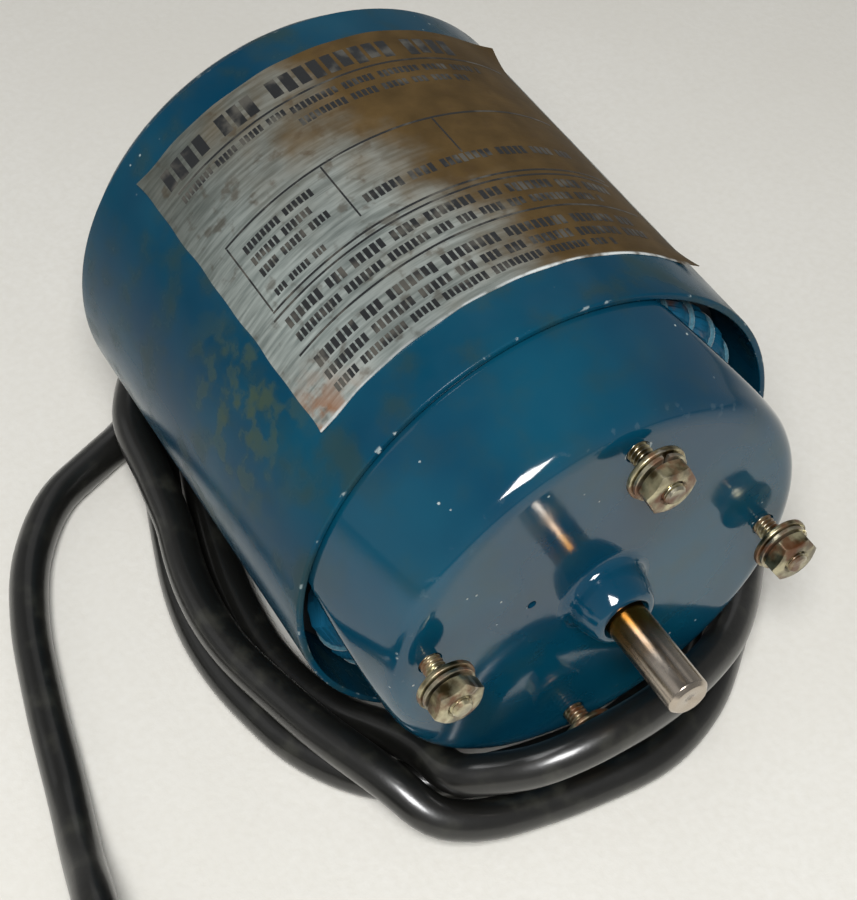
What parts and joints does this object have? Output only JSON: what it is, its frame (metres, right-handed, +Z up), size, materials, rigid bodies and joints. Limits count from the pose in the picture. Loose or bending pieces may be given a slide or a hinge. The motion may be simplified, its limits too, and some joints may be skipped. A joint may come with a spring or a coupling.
{
  "type": "electric motor",
  "caption": "Small shaded-pole electric motor with a drawn housing, domed end bell, plain shaft, mounting studs and coiled supply cord.",
  "frame": {"origin": "centre of the shaft's free end", "axes": "+X along the shaft, out of the motor; +Z up through the middle of the nameplate; the table is at z = -50 mm"},
  "size_m": [0.1981, 0.1869, 0.1006],
  "materials": {
    "blue_paint": "gloss blue enamel over steel, chipped and grimy in places",
    "foil_label": "thin printed foil, brown stains and lifted corners",
    "shaft_steel": "ground steel with a brown heat tint near the boss",
    "zinc_hardware": "yellowish zinc plating, dull and slightly dirty",
    "laminations": "stacked electrical steel",
    "winding": "varnished wire bundle laced with cord, blue overspray",
    "copper": "bare copper",
    "bronze": "porous oil-soaked bronze",
    "felt": "oiled wool felt",
    "spring_steel": "plain spring steel",
    "cast_aluminium": "die cast, not machined",
    "black_plastic": "moulded black plastic",
    "cord_jacket": "satin black jacket with soft highlights",
    "brass_contacts": "polished brass",
    "black_wire": "insulated lead",
    "white_wire": "insulated lead",
    "green_wire": "insulated lead"
  },
  "bodies": {
    "stator": {"black_lead": "black_wire", "cord_bushing": "black_plastic", "field_coil_1": "winding", "field_coil_2": "winding", "field_coil_3": "winding", "field_coil_4": "winding", "flat_washer_1": "zinc_hardware", "flat_washer_2": "zinc_hardware", "flat_washer_3": "zinc_hardware", "flat_washer_4": "zinc_hardware", "front_bearing_retainer": "spring_steel", "front_end_bell": "blue_paint", "front_oil_felt": "felt", "front_sleeve_bearing": "bronze", "green_lead": "green_wire", "ground_pin": "brass_contacts", "ground_screw": "brass_contacts", "housing_shell": "blue_paint", "lock_washer_1": "zinc_hardware", "lock_washer_2": "zinc_hardware", "lock_washer_3": "zinc_hardware", "lock_washer_4": "zinc_hardware", "nameplate": "foil_label", "plug_blade_1": "brass_contacts", "plug_blade_2": "brass_contacts", "plug_body": "black_plastic", "power_cord": "cord_jacket", "rear_bearing_retainer": "spring_steel", "rear_end_bell": "blue_paint", "rear_oil_felt": "felt", "rear_sleeve_bearing": "bronze", "shading_ring_1": "copper", "shading_ring_2": "copper", "shading_ring_3": "copper", "shading_ring_4": "copper", "stator_core": "laminations", "stud_nut_1": "zinc_hardware", "stud_nut_2": "zinc_hardware", "stud_nut_3": "zinc_hardware", "stud_nut_4": "zinc_hardware", "thermal_protector": "black_plastic", "through_bolt_1": "zinc_hardware", "through_bolt_2": "zinc_hardware", "through_bolt_3": "zinc_hardware", "through_bolt_4": "zinc_hardware", "white_lead": "white_wire"},
    "rotor": {"cooling_fan": "cast_aluminium", "front_shaft_clip": "spring_steel", "front_thrust_washer": "bronze", "motor_shaft": "shaft_steel", "rear_shaft_clip": "spring_steel", "rear_thrust_washer": "bronze", "rotor_core": "laminations", "squirrel_cage": "cast_aluminium"}
  },
  "joints": [
    {"name": "rotor_spin", "type": "hinge", "parent": "stator", "child": "rotor", "pos_m": [0, 0, 0], "axis": [1, 0, 0], "continuous": true}
  ]
}
